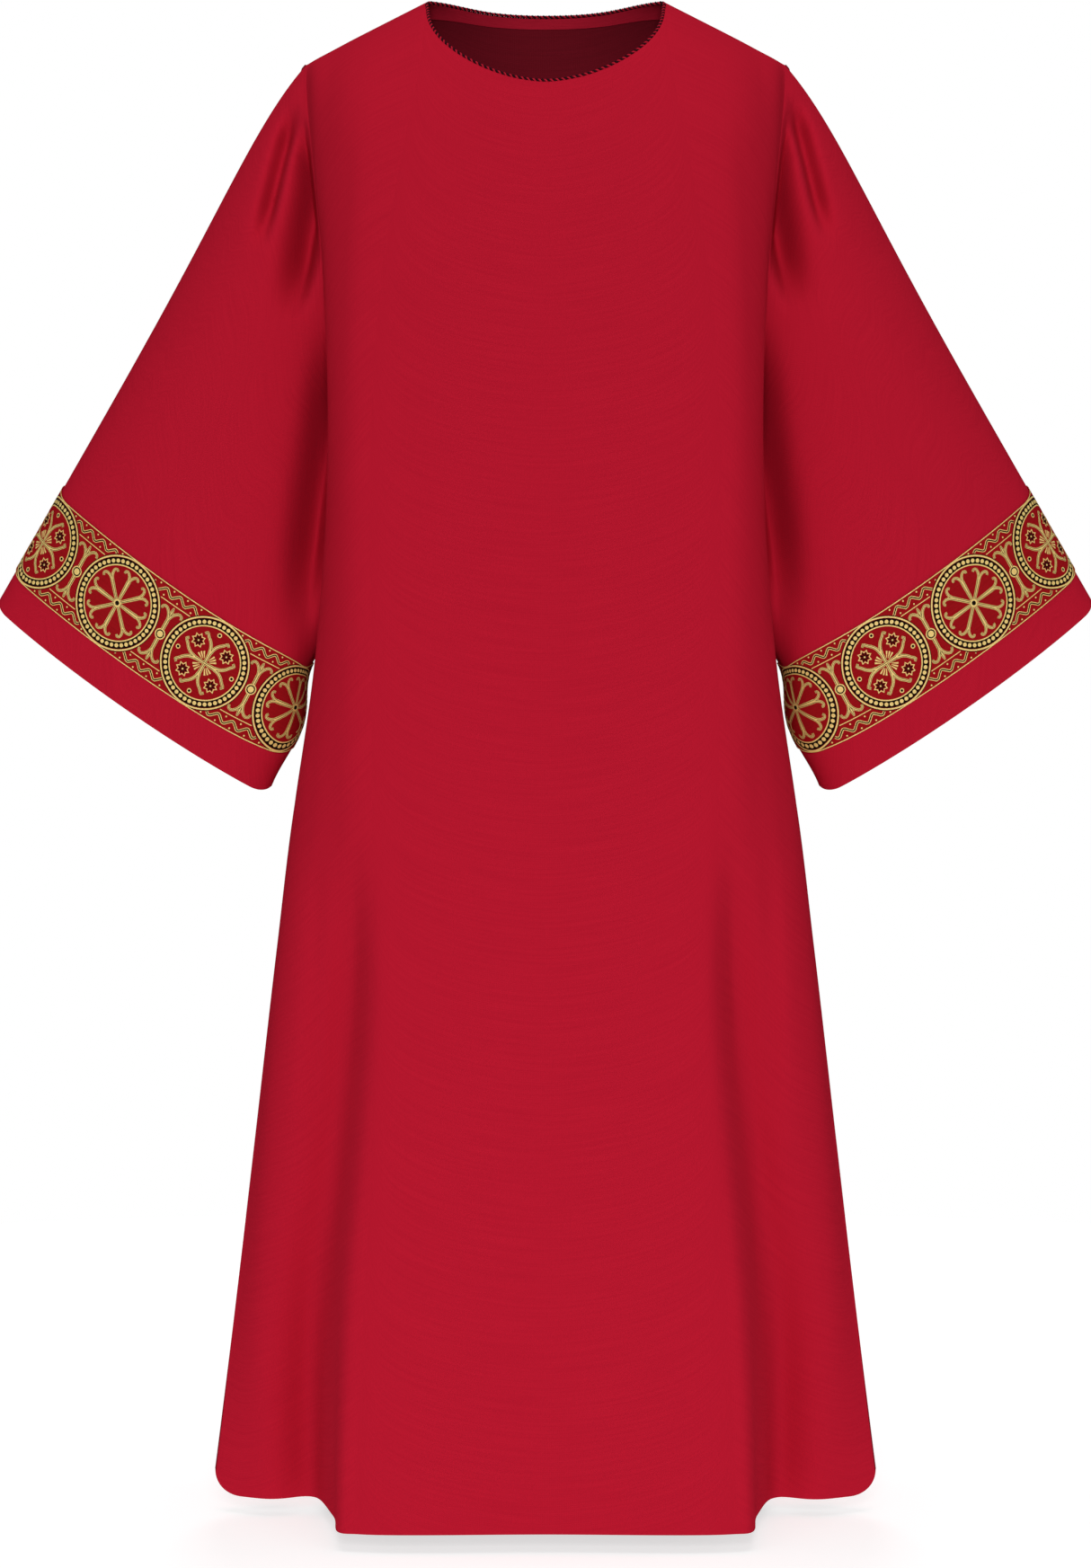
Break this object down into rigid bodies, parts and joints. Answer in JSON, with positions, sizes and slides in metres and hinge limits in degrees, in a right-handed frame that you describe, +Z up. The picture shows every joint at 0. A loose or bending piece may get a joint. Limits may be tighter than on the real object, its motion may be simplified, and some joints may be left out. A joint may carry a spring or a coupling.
{
  "type": "dalmatic",
  "caption": "Wide-sleeved A-line liturgical vestment with a round neck, worn over other robes, with a patterned woven band round each sleeve.",
  "frame": {"origin": "midway between the two points where the neck opening meets the shoulder seams, where the wearer carries the garment", "axes": "+Z up, +X towards the viewer's right as the front is looked at, which is the wearer's left, and -Y out of the front"},
  "size_m": [0.948, 0.3381, 1.3024],
  "materials": {
    "cloth": "matt plain-woven red cloth",
    "woven_band": "woven band, gold thread on deep red with dark outlines",
    "facing_tape": "matt red woven tape",
    "edging_cord": "fine dark cord with a red strand"
  },
  "bodies": {
    "root": {"front": "cloth", "back": "cloth", "sleeve_left": "cloth", "sleeve_right": "cloth", "galloon_left": "woven_band", "galloon_right": "woven_band", "neck_facing": "facing_tape", "neck_piping": "edging_cord"}
  },
  "joints": []
}
